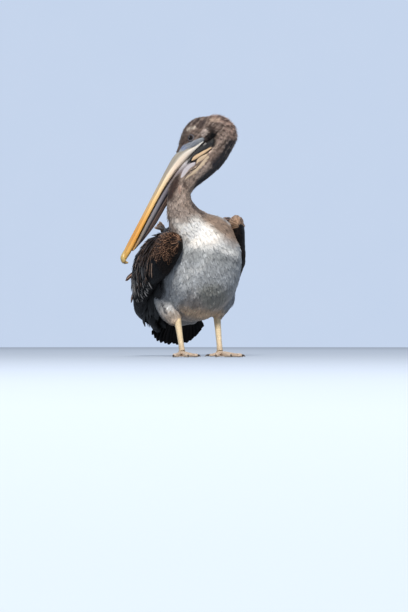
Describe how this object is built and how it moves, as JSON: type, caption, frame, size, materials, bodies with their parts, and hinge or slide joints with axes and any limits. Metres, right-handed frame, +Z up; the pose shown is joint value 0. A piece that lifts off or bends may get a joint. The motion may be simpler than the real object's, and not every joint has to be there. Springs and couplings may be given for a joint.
{
  "type": "brown pelican",
  "caption": "Still life-size model of an immature brown pelican standing on flat ground, neck in an S, head turned over its right shoulder, right wing hanging a little open.",
  "frame": {"origin": "centre of the bird's bounding box, on the ground", "axes": "+Z up, the trunk faces -Y and +X is the bird's left"},
  "size_m": [0.3204, 0.4602, 0.5769],
  "materials": {
    "pale_plumage": "soft streaked feathers",
    "brown_plumage": "short soft feathers",
    "wing_plumage": "covert feathers with paler edges",
    "flight_feather": "stiff vanes, faint sheen",
    "bill_horn": "satin horn",
    "nail_horn": "satin horn",
    "pouch_skin": "folded bare skin",
    "leg_skin": "scaled skin",
    "web_skin": "wrinkled webs",
    "claw_horn": "dark horn",
    "eye": "wet gloss"
  },
  "bodies": {
    "root": {"bill_lower": "pouch_skin", "bill_nail": "nail_horn", "bill_upper": "bill_horn", "claw_left_1": "claw_horn", "claw_left_2": "claw_horn", "claw_left_3": "claw_horn", "claw_left_4": "claw_horn", "claw_right_1": "claw_horn", "claw_right_2": "claw_horn", "claw_right_3": "claw_horn", "claw_right_4": "claw_horn", "eye_left": "eye", "eye_right": "eye", "foot_left": "web_skin", "foot_right": "web_skin", "head": "brown_plumage", "leg_left": "leg_skin", "leg_right": "leg_skin", "neck_lower": "brown_plumage", "neck_middle": "brown_plumage", "neck_upper": "brown_plumage", "pouch": "pouch_skin", "scapulars_left": "wing_plumage", "scapulars_right": "wing_plumage", "tail": "flight_feather", "thigh_left": "pale_plumage", "thigh_right": "pale_plumage", "trunk": "pale_plumage", "wing_left_coverts": "wing_plumage", "wing_left_primaries": "flight_feather", "wing_left_wrist": "wing_plumage", "wing_right_coverts": "wing_plumage", "wing_right_primaries": "flight_feather", "wing_right_wrist": "wing_plumage"}
  },
  "joints": []
}
